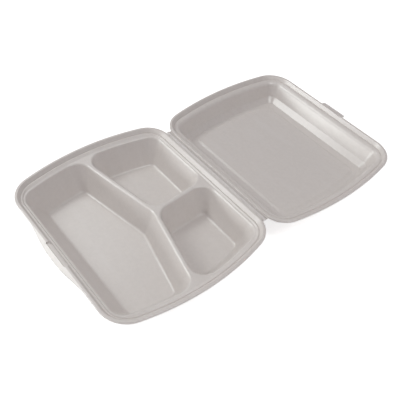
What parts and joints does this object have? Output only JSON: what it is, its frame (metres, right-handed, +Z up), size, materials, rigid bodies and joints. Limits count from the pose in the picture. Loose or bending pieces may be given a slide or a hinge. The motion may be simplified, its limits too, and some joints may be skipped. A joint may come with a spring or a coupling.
{
  "type": "foam clamshell container",
  "caption": "Hinged takeaway food box in white foam, lying open: a drafted tray divided into compartments and a shallow coved lid with a front tab.",
  "frame": {"origin": "middle of the large compartment's flat underside, on the plane the tray stands on", "axes": "+Z up, out of the tray; +Y from the tray over the hinge to the open lid; +X along the hinge, to the right seen from the latch"},
  "size_m": [0.24, 0.4199, 0.039],
  "materials": {
    "foam_sheet": "white extruded polystyrene foam sheet with a satin skin, thermoformed"
  },
  "bodies": {
    "base": {"base_tray": "foam_sheet"},
    "hinge": {"hinge_strip": "foam_sheet"},
    "lid": {"lid": "foam_sheet"}
  },
  "joints": [
    {"name": "base_crease", "type": "hinge", "parent": "base", "child": "hinge", "pos_m": [0, 0.1478, 0.03485], "axis": [1, 0, 0], "range_deg": [0, 90]},
    {"name": "lid_crease", "type": "hinge", "parent": "hinge", "child": "lid", "pos_m": [0, 0.1534, 0.03485], "axis": [1, 0, 0], "range_deg": [0, 90]}
  ],
  "couplings": [
    {"joint": "base_crease", "follows": "lid_crease", "ratio": 1}
  ]
}
